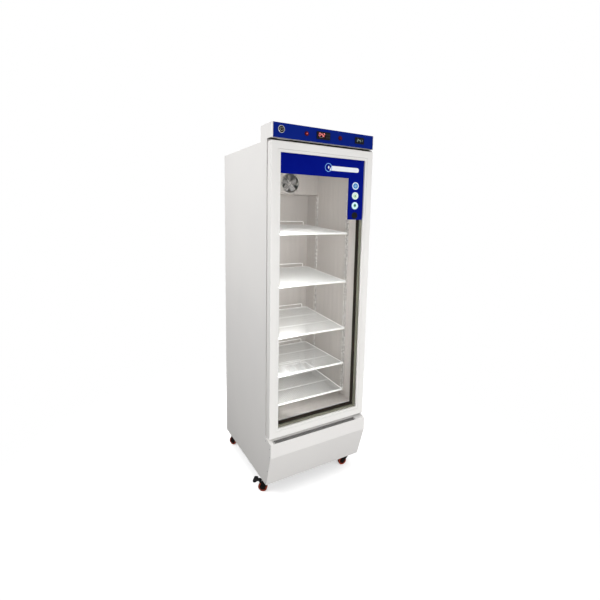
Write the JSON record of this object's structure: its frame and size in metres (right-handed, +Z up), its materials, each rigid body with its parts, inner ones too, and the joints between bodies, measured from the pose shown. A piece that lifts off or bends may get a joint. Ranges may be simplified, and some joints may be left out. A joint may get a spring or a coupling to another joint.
{
  "type": "laboratory refrigerator",
  "caption": "Upright laboratory refrigerator with a hinged double-glazed door, wire shelves on slotted rails, fan-cooled interior, control header, kick panel and swivel casters.",
  "frame": {"origin": "on the floor, midway between the side panels and midway between the door's front plane and the rear panel", "axes": "+Z up, the door faces -Y, +X to the right seen from the front"},
  "size_m": [0.6423, 0.672, 1.895],
  "materials": {
    "white_paint": "semi-gloss powder coat",
    "bare_steel": "zinc plated",
    "foam": "rigid foam between the panels",
    "liner_steel": "brushed stainless",
    "white_plastic": "gloss",
    "wire_coat": "light grey coated wire",
    "aluminium_fins": "fins",
    "black_plastic": "satin black",
    "lamp_plastic": "diffuser",
    "blue_fascia": "gloss blue film on painted steel",
    "chrome": "polished",
    "window": "dark display window",
    "grille": "painted perforated sheet",
    "screw": "plated",
    "black_steel": "black enamel",
    "condenser_fins": "black coated fins",
    "grey_plastic": "satin",
    "glass": "clear",
    "spacer": "mill finish",
    "rubber": "soft black",
    "decal": "printed film",
    "red_plastic": "translucent red",
    "fork_steel": "black",
    "wheel_red": "orange red nylon"
  },
  "bodies": {
    "cabinet": {"side_panel_left": "white_paint", "side_panel_right": "white_paint", "top_panel": "white_paint", "rear_panel": "white_paint", "base_plate": "bare_steel", "machine_deck": "bare_steel", "cabinet_foam": "foam", "inner_liner": "liner_steel", "front_frame": "white_plastic", "shelf_rails": "liner_steel", "shelf_clips": "bare_steel", "shelf_1": "wire_coat", "shelf_2": "wire_coat", "shelf_3": "wire_coat", "shelf_4": "wire_coat", "shelf_5": "wire_coat", "evaporator_housing": "liner_steel", "evaporator_coil": "aluminium_fins", "evaporator_fan_frame": "black_plastic", "ceiling_lamp": "lamp_plastic", "header_shell": "white_paint", "header_fascia": "blue_fascia", "lock_body": "chrome", "switch_housings": "black_plastic", "controller_housing": "black_plastic", "display_windows": "window", "thermometer_housing": "black_plastic", "kick_panel": "white_paint", "intake_grille": "grille", "kick_screws": "screw", "compressor": "black_steel", "condenser_unit": "condenser_fins", "drain_pan": "grey_plastic", "hinge_brackets": "bare_steel", "cord_inlet": "black_plastic", "caster_plates": "bare_steel"},
    "door": {"door_frame": "white_plastic", "glazing_bead": "white_plastic", "glass_panes": "glass", "glass_spacer": "spacer", "door_gasket": "rubber", "door_decal": "decal"},
    "lock": {"lock_plug": "chrome"},
    "light_rocker": {"light_switch": "red_plastic"},
    "power_rocker": {"power_switch": "red_plastic"},
    "evaporator_fan": {"evaporator_fan_blades": "grey_plastic"},
    "condenser_fan": {"condenser_fan_blades": "grey_plastic"},
    "key_1": {"controller_key_1": "grey_plastic"},
    "key_2": {"controller_key_2": "grey_plastic"},
    "key_3": {"controller_key_3": "grey_plastic"},
    "key_4": {"controller_key_4": "grey_plastic"},
    "swivel_fl": {"caster_fork_fl": "fork_steel"},
    "wheel_fl": {"caster_wheel_fl": "wheel_red"},
    "swivel_fr": {"caster_fork_fr": "fork_steel"},
    "wheel_fr": {"caster_wheel_fr": "wheel_red"},
    "swivel_rl": {"caster_fork_rl": "fork_steel"},
    "wheel_rl": {"caster_wheel_rl": "wheel_red"},
    "swivel_rr": {"caster_fork_rr": "fork_steel"},
    "wheel_rr": {"caster_wheel_rr": "wheel_red"},
    "brake_fl": {"brake_pedal_fl": "black_plastic"}
  },
  "joints": [
    {"name": "door_hinge", "type": "hinge", "parent": "cabinet", "child": "door", "pos_m": [0.285, -0.301, 0.346], "axis": [0, 0, 1], "range_deg": [0, 110]},
    {"name": "lock_turn", "type": "hinge", "parent": "cabinet", "child": "lock", "pos_m": [-0.25, -0.323, 1.866], "axis": [0, 1, 0], "range_deg": [0, 90]},
    {"name": "light_rock", "type": "hinge", "parent": "cabinet", "child": "light_rocker", "pos_m": [-0.115, -0.32, 1.8615], "axis": [1, 0, 0], "range_deg": [-16, 0]},
    {"name": "power_rock", "type": "hinge", "parent": "cabinet", "child": "power_rocker", "pos_m": [0.08, -0.32, 1.8615], "axis": [1, 0, 0], "range_deg": [0, 16]},
    {"name": "evaporator_fan_spin", "type": "hinge", "parent": "cabinet", "child": "evaporator_fan", "pos_m": [0.049, 0.141, 1.669], "axis": [0, 1, 0], "continuous": true},
    {"name": "condenser_fan_spin", "type": "hinge", "parent": "cabinet", "child": "condenser_fan", "pos_m": [-0.03, -0.199, 0.1855], "axis": [0, 1, 0], "continuous": true},
    {"name": "key_1_press", "type": "slide", "parent": "cabinet", "child": "key_1", "axis": [0, 1, 0], "range_m": [0, 0.0008], "stiffness_N_per_m": 300},
    {"name": "key_2_press", "type": "slide", "parent": "cabinet", "child": "key_2", "axis": [0, 1, 0], "range_m": [0, 0.0008], "stiffness_N_per_m": 300},
    {"name": "key_3_press", "type": "slide", "parent": "cabinet", "child": "key_3", "axis": [0, 1, 0], "range_m": [0, 0.0008], "stiffness_N_per_m": 300},
    {"name": "key_4_press", "type": "slide", "parent": "cabinet", "child": "key_4", "axis": [0, 1, 0], "range_m": [0, 0.0008], "stiffness_N_per_m": 300},
    {"name": "swivel_fl_turn", "type": "hinge", "parent": "cabinet", "child": "swivel_fl", "pos_m": [-0.26, -0.248, 0.0665], "axis": [0, 0, 1], "continuous": true},
    {"name": "wheel_fl_roll", "type": "hinge", "parent": "swivel_fl", "child": "wheel_fl", "pos_m": [-0.28911, -0.22357, 0.025], "axis": [-0.6428, -0.766, 0], "continuous": true},
    {"name": "swivel_fr_turn", "type": "hinge", "parent": "cabinet", "child": "swivel_fr", "pos_m": [0.26, -0.248, 0.0665], "axis": [0, 0, 1], "continuous": true},
    {"name": "wheel_fr_roll", "type": "hinge", "parent": "swivel_fr", "child": "wheel_fr", "pos_m": [0.22258, -0.2414, 0.025], "axis": [-0.1736, -0.9848, 0], "continuous": true},
    {"name": "swivel_rl_turn", "type": "hinge", "parent": "cabinet", "child": "swivel_rl", "pos_m": [-0.26, 0.223, 0.0665], "axis": [0, 0, 1], "continuous": true},
    {"name": "wheel_rl_roll", "type": "hinge", "parent": "swivel_rl", "child": "wheel_rl", "pos_m": [-0.279, 0.25591, 0.025], "axis": [-0.866, -0.5, 0], "continuous": true},
    {"name": "swivel_rr_turn", "type": "hinge", "parent": "cabinet", "child": "swivel_rr", "pos_m": [0.26, 0.223, 0.0665], "axis": [0, 0, 1], "continuous": true},
    {"name": "wheel_rr_roll", "type": "hinge", "parent": "swivel_rr", "child": "wheel_rr", "pos_m": [0.22258, 0.2164, 0.025], "axis": [0.1736, -0.9848, 0], "continuous": true},
    {"name": "brake_fl_press", "type": "hinge", "parent": "swivel_fl", "child": "brake_fl", "pos_m": [-0.2983, -0.21586, 0.058], "axis": [-0.6428, -0.766, 0], "range_deg": [0, 18]}
  ]
}
